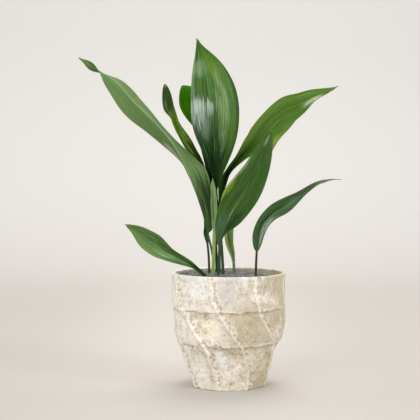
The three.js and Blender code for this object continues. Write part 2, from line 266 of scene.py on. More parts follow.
def start_rule(name, *titles):
    """A Geometry Nodes tree with these named inputs. Returns (tree, its inputs, its output).

    Seed is a whole number and Finish a material. All others are sizes and shares.
    """
    kinds = {"Seed": "NodeSocketInt", "Finish": "NodeSocketMaterial"}
    tree = bpy.data.node_groups.new(name, "GeometryNodeTree")
    tree.interface.new_socket("Geometry", in_out="INPUT", socket_type="NodeSocketGeometry")
    tree.interface.new_socket("Geometry", in_out="OUTPUT", socket_type="NodeSocketGeometry")
    for title in titles:
        kind = kinds.get(title, "NodeSocketFloat")
        tree.interface.new_socket(title, in_out="INPUT", socket_type=kind)
    return tree, add(tree, "NodeGroupInput").outputs, add(tree, "NodeGroupOutput").inputs


def carried(tree, name, kind="FLOAT"):
    """The value of this name that a mesh holds at its points, for a Geometry Nodes tree."""
    return add(tree, "GeometryNodeInputNamedAttribute", {"Name": name}, data_type=kind).outputs[0]


def scaled(tree, vector, length):
    """A vector made this many times as long."""
    return add(tree, "ShaderNodeVectorMath", {0: vector, "Scale": length}, operation="SCALE").outputs[0]


def shifted(tree, geometry, offset):
    """Geometry with its points moved by an offset."""
    inputs = {"Geometry": geometry, "Offset": offset}
    return add(tree, "GeometryNodeSetPosition", inputs).outputs[0]


def finish_rule(tree, geometry, finish, output):
    """Ends a tree with real geometry in its finish."""
    real = add(tree, "GeometryNodeRealizeInstances", {"Geometry": geometry}).outputs[0]
    painted = add(tree, "GeometryNodeSetMaterial", {"Geometry": real, "Material": finish}).outputs[0]
    tree.links.new(painted, output["Geometry"])


def apply_rule(name, mesh, tree, values):
    """Runs a tree once on a mesh with these values and returns the plain result as an object."""
    rough = bpy.data.objects.new(name, mesh)
    bpy.context.collection.objects.link(rough)
    rule = rough.modifiers.new(tree.name, "NODES")
    rule.node_group = tree
    sockets = {item.name: item.identifier for item in tree.interface.items_tree if item.in_out == "INPUT"}
    for title, value in values.items():
        rule[sockets[title]] = value
    depsgraph = bpy.context.evaluated_depsgraph_get()
    result = bpy.data.meshes.new_from_object(
        rough.evaluated_get(depsgraph), preserve_all_data_layers=True, depsgraph=depsgraph
    )
    rough.modifiers.remove(rule)
    rough.data = result
    result.name = name
    return rough


def pot_rings():
    """The rings of the pot from the middle of its foot, up the outside and down the inside."""
    shares = np.arange(POINTS_PER_PANEL) / POINTS_PER_PANEL
    rib = np.repeat(np.arange(RIB_COUNT), POINTS_PER_PANEL)
    share = np.tile(shares, RIB_COUNT)
    sway = np.sin(2 * np.pi * share + 2.4 * rib) + 0.6 * np.sin(6 * np.pi * share + 1.9 * rib)
    sway = BAND_SWAY * sway * np.sin(np.pi * share)
    rings, crest, outside, beside, below, arch = [], [], [], [], [], []

    def ring(radius, z, relief, shown):
        angle = np.radians((1 - share) * rib_angle(rib, z) + share * rib_angle(rib + 1, z))
        r = radius - relief
        panel = math.radians(RIB_SPACING) * radius * 100
        beside.extend(np.where(share < 0.5, share, share - 1) * panel)
        near = min((band - z for band in BAND_HEIGHTS), key=abs)
        below.extend(np.full_like(r, near * 100))
        arch.extend((near - ARCH_DROP * (1 - np.sin(np.pi * share))) * 100)
        height = z + sway * shown * smooth(z, *SWAY_RISE) * (1 - smooth(z, *SWAY_FALL))
        rings.append(np.stack([r * np.sin(angle), -r * np.cos(angle), height], axis=1))
        crest.extend(relief / (HOLLOW_DEPTH + BAND_DEPTH))
        outside.extend(np.full_like(r, shown))

    def outer(z, inset):
        sink = (1 - share) * RIB_SINK[rib] + share * RIB_SINK[(rib + 1) % RIB_COUNT]
        relief = PANEL_RELIEF[rib] * relief_depth(share, z) + sink * unevenness(z)
        relief = relief + FOOT_FLAT * np.sin(np.pi * share) * (1 - smooth(z, 0, FOOT_FLAT_TOP))
        ring(on_profile(POT_PROFILE, z) - inset, z, relief, 1)

    none = np.zeros_like(share)
    for inset in (*FOOT_INSETS, FOOT_EDGE):
        outer(0, inset)
    # The flat underside takes no cast lumps
    outside[:] = [0.0] * len(outside)
    outer(FOOT_EDGE * 0.3, FOOT_EDGE * 0.3)
    bands = [height - d for height in BAND_HEIGHTS for d in BAND_RINGS]
    steps = int((POT_HEIGHT - RIM_EDGE - FOOT_EDGE) / RING_SPACING)
    for z in sorted([*np.linspace(FOOT_EDGE, POT_HEIGHT - RIM_EDGE, steps), *bands]):
        outer(z, 0)
    rim = on_profile(POT_PROFILE, POT_HEIGHT)

    def rounded(turn):
        turn = math.radians(turn)
        return RIM_EDGE * (1 - math.cos(turn)), POT_HEIGHT - RIM_EDGE + RIM_EDGE * math.sin(turn)

    for step, z in map(rounded, (30, 60, 90)):
        ring(rim - step + none, z, none, 1)
    ring(rim - POT_WALL / 2 + none, POT_HEIGHT, none, 0.5)
    for step, z in map(rounded, (90, 60, 30, 0)):
        ring(rim - POT_WALL + step + none, z, none, 0.5)
    for z in np.linspace(POT_HEIGHT - 2 * RIM_EDGE, POT_FLOOR, 24):
        narrowing = INSIDE_NARROWING * (1 - smooth(z, *INSIDE_STEP))
        ring(on_profile(POT_PROFILE, z) - POT_WALL - narrowing + none, z, none, 0)
    return rings, {"relief": crest, "outside": outside, "beside": beside, "below": below, "arch": arch}


CREAM, PALE, WHITE = (0.905, 0.852, 0.768), (0.93, 0.885, 0.79), (0.90, 0.905, 0.885)
GREY, TAN, OLIVE = (0.62, 0.605, 0.57), (0.55, 0.48, 0.35), (0.42, 0.35, 0.20)
RIM_CREAM, TOP_CREAM = (0.90, 0.885, 0.85), (0.86, 0.85, 0.81)
PIT_BROWN, INSIDE_TAN = (0.17, 0.13, 0.065), (0.40, 0.375, 0.30)
# Large stains and bleached spots, and two patches of painted shadow beside a rib: (centre, reach, colour,
# strength)
POT_STAINS_AND_SHADOWS = [
    ((-0.056, -0.082, 0.176), 0.030, WHITE, 0.9), ((-0.010, -0.078, 0.057), 0.020, WHITE, 1.0),
    ((0.045, -0.088, 0.168), 0.014, WHITE, 0.8), ((-0.080, -0.052, 0.070), 0.012, WHITE, 0.8),
    ((0.074, -0.046, 0.072), 0.012, WHITE, 0.8), ((-0.006, -0.099, 0.172), 0.032, GREY, 0.95),
    ((0.034, -0.090, 0.112), 0.050, (0.51, 0.44, 0.32), 0.95),
    ((0.050, -0.062, 0.045), 0.036, (0.74, 0.65, 0.50), 0.6), ((-0.066, -0.048, 0.047), 0.020, TAN, 0.75),
    ((0.081, -0.058, 0.172), 0.014, OLIVE, 0.6), ((0.005, -0.076, 0.030), 0.022, PALE, 0.7),
    ((-0.050, -0.056, 0.026), 0.044, (0.96, 0.925, 0.84), 1.0),
    ((-0.042, -0.088, 0.110), 0.024, (0.92, 0.845, 0.66), 0.8), ((-0.047, -0.088, 0.134), 0.014, TAN, 0.7),
    ((0.018, -0.092, 0.092), 0.014, OLIVE, 0.45), ((0.084, -0.050, 0.125), 0.016, TAN, 0.6),
    # Painted shadow just right of a rib low on the front left
    ((-0.029, -0.072, 0.048), 0.016, (0.60, 0.53, 0.40), 0.8),
    ((-0.020, -0.072, 0.023), 0.022, (0.62, 0.545, 0.41), 0.85),
    ((0.0, -0.072, 0.002), 0.034, (0.97, 0.90, 0.76), 0.9),
]


def pot_finish():
    """Cream stoneware, tan to the right as painted shade: paler along ribs and ledges (wear and painted
    highlight), olive painted shade beside ribs and under ledges, dark pits beside them, tan and white clouds.
    """
    material, tree, shader = start_finish("stoneware")
    place = add(tree, "ShaderNodeTexCoord").outputs["Object"]
    x, _, z = add(tree, "ShaderNodeSeparateXYZ", {0: place}).outputs[:3]
    clouds, mottle = noise(tree, place, 24, 5, 0.6), noise(tree, place, 75, 6, 0.75)
    fine, grit = noise(tree, place, 190, 5, 0.75), noise(tree, place, 480, 3, 0.7)
    jitter = swing(tree, fine, 0.9)
    beside = maths(tree, "ADD", stored(tree, "beside"), jitter)
    below = maths(tree, "ADD", stored(tree, "below"), jitter)
    # Towards its right side the pot turns tan: painted shade.
    side = maths(tree, "ADD", times(tree, x, 6.5), times(tree, clouds, 2.0))
    colour = blend(tree, ramp(tree, side, 0.5, 1.8), CREAM, TAN)
    colour = blend(tree, times(tree, ramp(tree, mottle, 0.46, 0.64), 0.4), colour, TAN)
    cloud = times(tree, ramp(tree, clouds, 0.5, 0.36), ramp(tree, mottle, 0.6, 0.4), 0.7)
    colour = blend(tree, cloud, colour, PALE)
    high = times(tree, ramp(tree, z, 0.150, 0.200), ramp(tree, side, 0.6, 1.5, 1, 0))
    high = times(tree, high, ramp(tree, mottle, 0.6, 0.42, 0.3, 1), 0.8)
    colour = blend(tree, high, colour, TOP_CREAM)
    for centre, reach, tint, strength in POT_STAINS_AND_SHADOWS:
        inputs = {0: place, 1: centre}
        away = add(tree, "ShaderNodeVectorMath", inputs, operation="DISTANCE").outputs["Value"]
        away = maths(tree, "ADD", away, swing(tree, clouds, reach * 1.6))
        away = maths(tree, "ADD", away, swing(tree, mottle, reach * 1.4))
        colour = blend(tree, ramp(tree, away, reach * 0.1, reach * 1.2, strength, 0), colour, tint)
    rim = times(tree, ramp(tree, z, 0.197, 0.204), ramp(tree, mottle, 0.62, 0.45, 0.3, 1))
    colour = blend(tree, times(tree, rim, ramp(tree, side, 0.9, 1.9, 0.9, 0.3)), colour, RIM_CREAM)

    stain = times(tree, ramp(tree, stored(tree, "relief"), 0.35, 0.95), ramp(tree, mottle, 0.4, 0.6))
    stain = times(tree, stain, ramp(tree, clouds, 0.38, 0.55, 0.2, 1), 0.35)
    # The olive arch at the top of each hollow below a band is painted shade.
    arch = times(tree, hump(tree, stored(tree, "arch"), -0.25, 0.15, 0.2, 0.9), ramp(tree, below, 0.1, 0.3))
    arch = times(tree, arch, ramp(tree, fine, 0.36, 0.56), 0.5)
    colour = blend(tree, maths(tree, "MAXIMUM", stain, arch), colour, OLIVE)
    outer_face = ramp(tree, stored(tree, "outside"), 0.5, 0.9)
    # Pale along the rib crests and the tops of the ledges: part wear, part painted highlight.
    crest = ramp(tree, maths(tree, "ABSOLUTE", beside), 0.2, 0.7, 1, 0)
    ledge = times(tree, hump(tree, below, -0.7, -0.2, 0.0, 0.22), ramp(tree, clouds, 0.4, 0.56, 0.1, 0.9))
    light = maths(tree, "MAXIMUM", crest, ledge)
    colour = blend(tree, times(tree, light, outer_face, ramp(tree, fine, 0.66, 0.42, 0.2, 0.5)), colour, PALE)
    slope = times(tree, hump(tree, beside, 0.1, 0.4, 1.1, 1.7), ramp(tree, mottle, 0.6, 0.42), outer_face)
    colour = blend(tree, times(tree, slope, 0.4), colour, PALE)
    # Olive right of each rib and under each ledge is painted shade; the olive line just left of each rib is
    # the pot's own seam.
    right_of_rib = hump(tree, beside, 0.15, 0.35, 0.5, 1.5)
    left_of_rib = times(tree, hump(tree, beside, -0.7, -0.35, -0.3, -0.15), 0.7)
    under_ledge = times(tree, hump(tree, below, 0.1, 0.25, 0.35, 0.9), 0.7)
    shade_and_seam = maths(tree, "MAXIMUM", maths(tree, "MAXIMUM", right_of_rib, left_of_rib), under_ledge)
    colour = blend(tree, times(tree, shade_and_seam, ramp(tree, fine, 0.45, 0.62), 0.8), colour, OLIVE)
    cells = add(tree, "ShaderNodeTexVoronoi", {"Vector": place, "Scale": 230}).outputs["Distance"]
    hole = times(tree, ramp(tree, cells, 0.16, 0.34, 1, 0), ramp(tree, grit, 0.42, 0.5))
    often = maths(tree, "MAXIMUM", times(tree, shade_and_seam, 0.8), ramp(tree, mottle, 0.5, 0.6, 0, 0.85))
    hole = times(tree, hole, times(tree, often, maths(tree, "SUBTRACT", 1.0, times(tree, light, 0.9))))
    colour = blend(tree, hole, colour, PIT_BROWN)
    shade = times(tree, ramp(tree, fine, 0.34, 0.66, 1.05, 0.90), ramp(tree, mottle, 0.36, 0.64, 1.03, 0.94))
    colour = blend(tree, 1.0, colour, shade, "MULTIPLY")
    colour = blend(tree, ramp(tree, stored(tree, "outside"), 0.1, 0.4, 0.75, 0), colour, INSIDE_TAN)
    rough = ramp(tree, fine, 0.3, 0.7, 0.75, 0.95)
    height = maths(tree, "ADD", times(tree, fine, 0.9), times(tree, grit, 0.25))
    height = maths(tree, "SUBTRACT", height, times(tree, hole, 0.6))
    finish_surface(tree, shader, colour, rough, 0.2, height, 1.0, 0.0026)
    return material


def cast_skin_rule():
    """Moves the outside in and out by soft lumps and grains, and sinks scattered pits into it.

    The crests of the ribs move least, so that their lines stay clean.
    """
    tree, given, output = start_rule(
        "cast_skin", "Lump Size", "Lump Depth", "Pit Size", "Pit Depth", "Grain Size", "Grain Depth", "Finish"
    )
    place = add(tree, "GeometryNodeInputPosition").outputs[0]
    off_crest = ramp(tree, maths(tree, "ABSOLUTE", carried(tree, "beside")), 0.2, 0.8, 0.3, 1)
    lumps = noise(tree, place, maths(tree, "DIVIDE", 1.0, given["Lump Size"]), 3, 0.5)
    lump = times(tree, maths(tree, "SUBTRACT", lumps, 0.55), given["Lump Depth"])
    closeness = maths(tree, "DIVIDE", 0.22, given["Pit Size"])
    cells = add(tree, "ShaderNodeTexVoronoi", {"Vector": place, "Scale": closeness}).outputs["Distance"]
    patchy = ramp(tree, noise(tree, place, 45, 2, 0.5), 0.45, 0.58)
    pit = times(tree, ramp(tree, cells, 0.1, 0.34, 1, 0), patchy, given["Pit Depth"])
    grains = noise(tree, place, maths(tree, "DIVIDE", 1.0, given["Grain Size"]), 2, 0.6)
    grain = times(tree, maths(tree, "SUBTRACT", grains, 0.7), given["Grain Depth"])
    move = maths(tree, "ADD", lump, maths(tree, "SUBTRACT", grain, pit))
    move = times(tree, move, carried(tree, "outside"), off_crest)
    normal = add(tree, "GeometryNodeInputNormal").outputs[0]
    moved = shifted(tree, given["Geometry"], scaled(tree, normal, move))
    finish_rule(tree, moved, given["Finish"], output)
    return tree


rings, places = pot_rings()
pot_values = {
    "Lump Size": 0.016, "Lump Depth": 0.0022, "Pit Size": 0.0018, "Pit Depth": 0.0013,
    "Grain Size": 0.0055, "Grain Depth": 0.0018, "Finish": pot_finish(),
}
pot_mesh = skin_mesh("pot", rings, **places)
pot = apply_rule("stoneware_pot", pot_mesh, cast_skin_rule(), pot_values)
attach(pot, "root")
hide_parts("pot")


# Compost
# Dark, damp bark compost fills the pot to just below the rim and has sunk along the right side.
# Small crumbs of bark lie loose on top of it.
SOIL_TOP = 0.1955
SOIL_SINK = 0.009
SOIL_SINK_FROM = (0.015, 0.075)
SOIL_GAP = 0.0003
SOIL_LUMPS = 0.0015
SOIL_EDGE_DROP = 0.0012
CRUMB_SIZE = 0.0025
CRUMBS_PER_SQUARE_METRE = 62000.0
SMALLEST_CRUMB = (0.5, 0.4, 0.25)
LARGEST_CRUMB = (1.5, 1.0, 0.6)
FULL_TURNS = (6.283, 6.283, 6.283)


def soil_rings():
    """The compost's rings: up the pot's inside, then in over the top to its middle."""
    angle = np.linspace(0, 2 * np.pi, 120, endpoint=False)
    rings, on_top = [], []

    def ring(radius, z, shown):
        x, y = radius * np.sin(angle), -radius * np.cos(angle)
        top = SOIL_TOP - SOIL_SINK * smooth(x, *SOIL_SINK_FROM)
        bumps = 0.5 * np.sin(x * 190 + 1.3) * np.sin(y * 230 + 0.4) + 0.5 * np.sin(x * 420 + y * 370)
        height = top + SOIL_LUMPS * bumps * shown - SOIL_EDGE_DROP * (1 - shown) if z is None else z
        rings.append(np.stack([x, y, height + 0 * x], axis=1))
        on_top.extend(np.full_like(x, shown if z is None else 0))

    def wall(z):
        return on_profile(POT_PROFILE, z) - POT_WALL - INSIDE_NARROWING * (1 - smooth(z, *INSIDE_STEP))

    for z in (POT_FLOOR + SOIL_GAP, 0.060, 0.090, 0.120, 0.150, 0.160, 0.166, 0.172, 0.177, 0.182):
        ring(wall(z) - SOIL_GAP * 2, z, 0)
    inside = wall(SOIL_TOP - SOIL_SINK) - SOIL_GAP * 3
    ring(inside, None, 0)
    for share in np.linspace(0.985, 0.03, 44):
        ring(inside * share, None, 1)
    return rings, on_top


def soil_finish():
    """Slate-dark compost with browner and greyer crumbs, damp enough for a faint sheen."""
    dark, grey, brown = (0.09, 0.095, 0.094), (0.235, 0.245, 0.24), (0.165, 0.135, 0.095)
    material, tree, shader = start_finish("compost")
    place = add(tree, "ShaderNodeTexCoord").outputs["Object"]
    colour = blend(tree, ramp(tree, noise(tree, place, 260, 4, 0.6), 0.38, 0.66), dark, grey)
    colour = blend(tree, ramp(tree, noise(tree, place, 120, 3, 0.5), 0.5, 0.66, 0, 0.7), colour, brown)
    grit = noise(tree, place, 700, 4, 0.65)
    rough = ramp(tree, grit, 0.3, 0.7, 0.62, 0.95)
    finish_surface(tree, shader, colour, rough, 0.5, grit, 0.8, 0.0012)
    return material


def crumb_rule():
    """Strews crumbs over the top: squashed, turned at random, and made uneven by noise."""
    tree, given, output = start_rule(
        "strewn_crumbs", "Crumb Size", "Crumbs Per Square Metre", "Seed", "Finish"
    )
    top = maths(tree, "GREATER_THAN", carried(tree, "on_top"), 0.9)
    spots = add(tree, "GeometryNodeDistributePointsOnFaces", {
        "Mesh": given["Geometry"], "Seed": given["Seed"],
        "Density": times(tree, given["Crumbs Per Square Metre"], top),
    }).outputs[0]
    ball = add(tree, "GeometryNodeMeshIcoSphere", {"Radius": 0.5, "Subdivisions": 2}).outputs[0]

    def drawn(low, high, seed):
        inputs = {"Min": low, "Max": high, "Seed": seed}
        return add(tree, "FunctionNodeRandomValue", inputs, data_type="FLOAT_VECTOR").outputs[0]

    turn = drawn((0, 0, 0), FULL_TURNS, given["Seed"])
    grow = drawn(SMALLEST_CRUMB, LARGEST_CRUMB, maths(tree, "ADD", given["Seed"], 7))
    strewn = add(tree, "GeometryNodeInstanceOnPoints", {
        "Points": spots, "Instance": ball, "Rotation": turn, "Scale": scaled(tree, grow, given["Crumb Size"]),
    }).outputs[0]
    real = add(tree, "GeometryNodeRealizeInstances", {"Geometry": strewn}).outputs[0]
    rough = add(tree, "ShaderNodeTexNoise", {"Scale": 500.0, "Detail": 2.0}).outputs["Color"]
    middle = {0: rough, 1: (0.5, 0.5, 0.5)}
    shift = add(tree, "ShaderNodeVectorMath", middle, operation="SUBTRACT").outputs[0]
    uneven = shifted(tree, real, scaled(tree, shift, times(tree, given["Crumb Size"], 0.7)))
    joined = add(tree, "GeometryNodeJoinGeometry")
    tree.links.new(uneven, joined.inputs[0])
    tree.links.new(given["Geometry"], joined.inputs[0])
    finish_rule(tree, joined.outputs[0], given["Finish"], output)
    return tree


rings, on_top = soil_rings()
soil_values = {
    "Crumb Size": CRUMB_SIZE, "Crumbs Per Square Metre": CRUMBS_PER_SQUARE_METRE, "Seed": 4,
    "Finish": soil_finish(),
}
soil = apply_rule("bark_compost", skin_mesh("soil", rings, on_top=on_top), crumb_rule(), soil_values)
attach(soil, "root")
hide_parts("soil")


# The far left leaf
# One grown piece, like every leaf here: a thin stalk out of the compost runs into a leathery
# blade. It shows its matte underside and pale midrib, and twists over once near the tip.
BLADE_EDGE = 0.0008
BLADE_MIDRIB = 0.0016
STALK_TAPER = 0.15
STALK_END = (0.1, 0.5)
FLATTENING = 2.4
GROOVE_DEPTH = 0.45
GROOVE_WIDTH = 0.35
EDGE_ROUNDING = 2.2
MIDRIB_SOFTNESS = 0.05
KEEL_HEIGHT = 0.0007
KEEL_WIDTH = 0.0016
KEEL_TAPER = 0.7
LOOK_AHEAD = 0.02
# Points across the blade stand closer together towards its margins
CROWDING = 0.93
ACROSS = np.sin(np.linspace(-1, 1, 49) * np.pi / 2 * CROWDING) / math.sin(np.pi / 2 * CROWDING)
STALK_RINGS = 14
BLADE_RINGS = 120
FRONT = (0.0, -1.0, 0.0)
# One margin's wave runs this many radians ahead of the blade's, and the other's as far behind
SIDE_SHIFT = 0.9


def unit(v):
    """Vectors made one long."""
    return v / np.linalg.norm(v, axis=-1, keepdims=True)


def midrib_curve(points):
    """Evenly spaced stations on a smooth curve through the points. Returns (shares, places)."""
    p = np.array(points, float)
    p = np.vstack([2 * p[0] - p[1], p, 2 * p[-1] - p[-2]])
    places = [p[1][None]]
    t = (np.arange(60) + 1)[:, None] / 60
    for a, b, c, d in zip(p, p[1:], p[2:], p[3:]):
        d0, d1, d2 = (math.sqrt(np.linalg.norm(v)) for v in (b - a, c - b, d - c))
        m1 = ((b - a) / d0 - (c - a) / (d0 + d1) + (c - b) / d1) * d1
        m2 = ((c - b) / d1 - (d - b) / (d1 + d2) + (d - c) / d2) * d1
        places.append(b + m1 * t + (3 * (c - b) - 2 * m1 - m2) * t**2 + (2 * (b - c) + m1 + m2) * t**3)
    places = np.concatenate(places)
    lengths = np.concatenate([[0], np.cumsum(np.linalg.norm(np.diff(places, axis=0), axis=1))])
    return lengths / lengths[-1], places


def leaf_mesh(name, midrib, blade, half, fullest, taper, stalk, turn, fold, faces=FRONT, arch=0.06):
    """A leaf: a round stalk that widens into a thin blade folded along its midrib."""
    shares, places = midrib_curve(midrib)

    def at(share):
        return np.array([np.interp(share, shares, places[:, axis]) for axis in range(3)])

    rings, across, along, upper, facing_out = [], [], [], [], []
    up_stalk = blade * np.arange(STALK_RINGS) / STALK_RINGS
    up_blade = blade + (1 - blade) * np.linspace(0, 1, BLADE_RINGS)
    for share in [*up_stalk, *up_blade]:
        centre = at(share)
        way = unit(at(min(share + LOOK_AHEAD, 1)) - at(max(share - LOOK_AHEAD, 0)))
        level = unit(np.cross(way, unit(np.array(faces))))
        facing = np.cross(level, way)
        s = min(max((share - blade) / (1 - blade), 0), 1)
        spin = math.radians(on_profile(turn, s))
        side = level * math.cos(spin) + facing * math.sin(spin)
        up = facing * math.cos(spin) - level * math.sin(spin)

        lean = math.log(0.5) / math.log(fullest)
        bulge = max(math.sin(math.pi * s**lean), 0) ** taper[0 if s < fullest else 1]
        thick_stalk = stalk * (1 - STALK_TAPER * min(share / blade, 1))
        wide = math.hypot(half * bulge, thick_stalk * (1 - smooth(s, *STALK_END)), BLADE_EDGE / 2)
        flat = smooth(wide, thick_stalk, thick_stalk * FLATTENING)
        angle = math.radians(on_profile(fold, s)) * flat

        u = ACROSS
        w = np.abs(u)
        rise = np.sqrt(w * w + MIDRIB_SOFTNESS**2) - MIDRIB_SOFTNESS
        rise = rise + arch * np.sin(np.pi * w) * (1 - MIDRIB_SOFTNESS)
        x = wide * u * math.cos(angle)
        y = wide * rise * math.sin(angle)
        rounded = np.sqrt(np.maximum(1 - u * u, 0))
        groove = 1 - GROOVE_DEPTH * np.exp(-((u / GROOVE_WIDTH) ** 2))
        sheet = (BLADE_EDGE + (BLADE_MIDRIB - BLADE_EDGE) * (1 - w) ** 3) / 2
        sheet = sheet * np.minimum(1, rounded * EDGE_ROUNDING)
        keel = KEEL_HEIGHT * np.exp(-((u * wide / KEEL_WIDTH) ** 2)) * (1 - KEEL_TAPER * s)
        above = thick_stalk * rounded * groove * (1 - flat) + sheet * flat
        below = thick_stalk * rounded * (1 - flat) + (sheet + keel) * flat
        nx = np.sign(u) * math.sin(angle)
        ny = math.cos(angle)
        top = centre + np.outer(x - nx * above, side) + np.outer(y + ny * above, up)
        under = centre + np.outer(x + nx * below, side) + np.outer(y - ny * below, up)
        rings.append(np.concatenate([top, under[-2:0:-1]]))
        across.extend([*u, *u[-2:0:-1]])
        blade_share = s if share > blade else share / blade - 1
        along.extend([blade_share] * len(rings[-1]))
        upper.extend([0.5, *[1] * (len(u) - 2), 0.5, *[0] * (len(u) - 2)])
        out = np.outer(-nx, side) + np.outer(np.full_like(u, ny), up)
        facing_out.extend(np.concatenate([out, out[-2:0:-1]]))
    return skin_mesh(name, rings, across=across, along=along, upper=upper, facing_out=facing_out)


def leaf_ribs_rule():
    """Lengthwise ribs in the blade, which keep its thickness, and a slow wave along its margins."""
    tree, given, output = start_rule(
        "leaf_ribs", "Rib Count", "Rib Depth", "Wave Count", "Wave Height", "Wave Start", "Finish"
    )
    across, along = carried(tree, "across"), carried(tree, "along")
    off_midrib = maths(tree, "ABSOLUTE", across)
    rib = maths(tree, "SINE", times(tree, off_midrib, given["Rib Count"], math.pi))
    rib = times(tree, rib, given["Rib Depth"], ramp(tree, off_midrib, 0.8, 1.0, 1, 0))
    start = maths(tree, "ADD", given["Wave Start"], times(tree, maths(tree, "SIGN", across), SIDE_SHIFT))
    wave = maths(tree, "ADD", times(tree, along, given["Wave Count"], 2 * math.pi), start)
    height = times(tree, given["Wave Height"], ramp(tree, off_midrib, 0.35, 1.0))
    wave = times(tree, maths(tree, "SINE", wave), height)
    move = times(tree, maths(tree, "ADD", rib, wave), hump(tree, along, 0.05, 0.3, 0.85, 0.98))
    out = carried(tree, "facing_out", "FLOAT_VECTOR")
    moved = shifted(tree, given["Geometry"], scaled(tree, out, move))
    finish_rule(tree, moved, given["Finish"], output)
    return tree


LEAF_RIBS = leaf_ribs_rule()
VEIN_SHADOW, VEIN_LIGHT, DRY_TIP = (0.008, 0.025, 0.006), (0.30, 0.40, 0.22), (0.30, 0.26, 0.07)
LIGHT_THROUGH = (1.9, 1.7, 0.5)
DARK_TINT = 0.1


def leaf_finish(
    name, deep, fresh, underside, stalk, margin, seed, gloss=0.3, glow=0.3, midline=0.0, shine=0.1,
    streak=1.0, lines=1.0, patches=(),
):
    """A leathery leaf: streaks between its veins, a paler underside, a thin margin, light through it.

    glow is the share of light that comes through, midline how pale the midrib is, streak how strong
    the fine lines are, and lines how close together they run. Each patch is (across, along, reach
    across, reach along, colour, strength): a dark one covers evenly, and a pale one breaks into lines.
    Besides the leaf's own tone, patches paint shade, highlights and light shining through.
    """
    material, tree, shader = start_finish(name)
    across, along, upper = stored(tree, "across"), stored(tree, "along"), stored(tree, "upper")
    off_midrib = maths(tree, "ABSOLUTE", across)

    def streaks(per_width, per_length, detail=3.0):
        x, y = times(tree, across, per_width * lines), times(tree, along, per_length)
        place = add(tree, "ShaderNodeCombineXYZ", {0: x, 1: y, 2: float(seed)}).outputs[0]
        return noise(tree, place, 1.0, detail, 0.6)

    broad, narrow, fine, hair = streaks(5, 1.6), streaks(16, 2.5), streaks(38, 6, 4), streaks(90, 8)
    cross_lines = streaks(2.5, 90, 2)
    mix = maths(tree, "ADD", times(tree, broad, 0.65), times(tree, narrow, 0.35))
    colour = blend(tree, ramp(tree, mix, 0.36, 0.64), deep, fresh)
    below = blend(tree, ramp(tree, narrow, 0.35, 0.65, 0, 0.5), underside, fresh)
    colour = blend(tree, times(tree, maths(tree, "SUBTRACT", 1.0, upper), 0.9), colour, below)
    darker = ramp(tree, fine, 0.56, 0.38, 0, 0.55 * streak)
    darker = times(tree, darker, ramp(tree, cross_lines, 0.3, 0.7, 0.5, 1))
    colour = blend(tree, darker, colour, VEIN_SHADOW)
    lighter = ramp(tree, fine, 0.55, 0.72, 0, 0.5 * streak)
    lighter = times(tree, lighter, ramp(tree, hair, 0.4, 0.6, 0.4, 1))
    colour = blend(tree, lighter, colour, VEIN_LIGHT)
    colour = blend(tree, ramp(tree, off_midrib, 0.0, 0.04, midline, 0), colour, margin)
    colour = blend(tree, ramp(tree, off_midrib, 0.955, 1.0, 0, 0.5), colour, margin)
    colour = blend(tree, ramp(tree, along, -0.15, 0.12, 1, 0), colour, stalk)
    for a, b, reach_a, reach_b, tint, strength in patches:
        dx = maths(tree, "DIVIDE", maths(tree, "SUBTRACT", across, a), reach_a)
        dy = maths(tree, "DIVIDE", maths(tree, "SUBTRACT", along, b), reach_b)
        away = maths(tree, "SQRT", maths(tree, "ADD", times(tree, dx, dx), times(tree, dy, dy)))
        away = maths(tree, "ADD", away, swing(tree, narrow, 1.3))
        away = maths(tree, "ADD", away, swing(tree, fine, 1.6))
        between = ramp(tree, fine, 0.57, 0.46, 0.75 if max(tint) < DARK_TINT else 0.15, 1)
        share = times(tree, ramp(tree, away, 0.3, 1.0, strength, 0), between)
        colour = blend(tree, share, colour, tint)
    colour = blend(tree, ramp(tree, along, 0.975, 1.0, 0, 0.55), colour, DRY_TIP)
    dull = ramp(tree, upper, 0, 1, 0.24, 0)
    rough = maths(tree, "ADD", ramp(tree, narrow, 0.3, 0.7, gloss - 0.05, gloss + 0.12), dull)
    height = maths(tree, "ADD", fine, times(tree, maths(tree, "ADD", hair, cross_lines), 0.3))
    bump = finish_surface(tree, shader, colour, rough, shine, height, 0.35, 0.0008)
    lit = blend(tree, 1.0, colour, LIGHT_THROUGH, "MULTIPLY")
    through = add(tree, "ShaderNodeBsdfTranslucent", {"Color": lit, "Normal": bump})
    lit_leaf = add(tree, "ShaderNodeMixShader", {0: glow, 1: shader.outputs[0], 2: through.outputs[0]})
    tree.links.new(lit_leaf.outputs[0], tree.nodes["Material Output"].inputs["Surface"])
    return material


def place_leaf(node, mesh, finish, ribs=(11.0, 0.00022), wave=(2.3, 0.0010, 0.0)):
    """Ribs and finishes a leaf's blade, and stands it for the CAD node of the same leaf."""
    values = {
        "Rib Count": ribs[0], "Rib Depth": ribs[1], "Wave Count": wave[0], "Wave Height": wave[1],
        "Wave Start": wave[2], "Finish": finish,
    }
    leaf = apply_rule(node + "_blade", mesh, LEAF_RIBS, values)
    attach(leaf, "root")
    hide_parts(node)


blade = leaf_mesh(
    "leaf_far_left",
    midrib=[
        (-0.024, 0.008, 0.172), (-0.028, 0.006, 0.230), (-0.036, -0.001, 0.266), (-0.047, -0.008, 0.309),
        (-0.062, -0.012, 0.352), (-0.079, -0.014, 0.393), (-0.100, -0.016, 0.429),
        (-0.131, -0.020, 0.465), (-0.164, -0.024, 0.497), (-0.195, -0.027, 0.531),
        (-0.222, -0.028, 0.549), (-0.259, -0.028, 0.573),
    ],
    blade=0.2, half=0.036, fullest=0.46, taper=(0.5, 0.9), stalk=0.0022,
    turn=[
        (0, 240), (0.15, 238), (0.24, 225), (0.33, 197), (0.45, 170), (0.65, 160), (0.8, 143), (0.89, 85),
        (0.94, 25), (0.97, -22), (1, -36),
    ],
    fold=[
        (0, 60), (0.15, 58), (0.24, 47), (0.34, 70), (0.52, 66), (0.7, 42), (0.83, 28), (0.89, 6),
        (1, 20),
    ],
)
